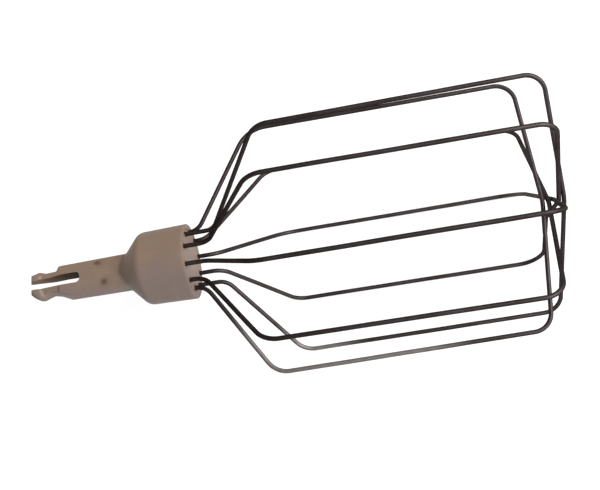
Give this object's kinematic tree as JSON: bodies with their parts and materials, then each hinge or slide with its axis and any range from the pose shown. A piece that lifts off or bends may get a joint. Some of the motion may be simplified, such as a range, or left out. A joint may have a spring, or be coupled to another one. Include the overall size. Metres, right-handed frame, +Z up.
{
  "type": "food processor whisk",
  "caption": "Balloon whisk attachment: steel wire loops crossing at the tip, held in a bell-shaped plastic hub whose flat slotted tail snaps into a food processor's drive",
  "frame": {"origin": "on the surface the whisk lies on, under the middle of its bounding box", "axes": "+X along the hub's axis from the snap tail to the far end of the wire cage; +Z up from the surface; +Y completes a right-handed frame, level and across the cage"},
  "size_m": [0.157, 0.0738, 0.0708],
  "materials": {
    "hub_plastic": "warm grey-beige moulded plastic, satin, with soft grey marks",
    "retainer_plastic": "the same moulded plastic, a little lighter",
    "whisk_steel": "drawn round stainless wire, dull polish, darkened by use"
  },
  "bodies": {
    "root": {"hub_body": "hub_plastic", "wire_retainer": "retainer_plastic", "whisk_wire_1": "whisk_steel", "whisk_wire_2": "whisk_steel", "whisk_wire_3": "whisk_steel", "whisk_wire_4": "whisk_steel", "whisk_wire_5": "whisk_steel"}
  },
  "joints": []
}
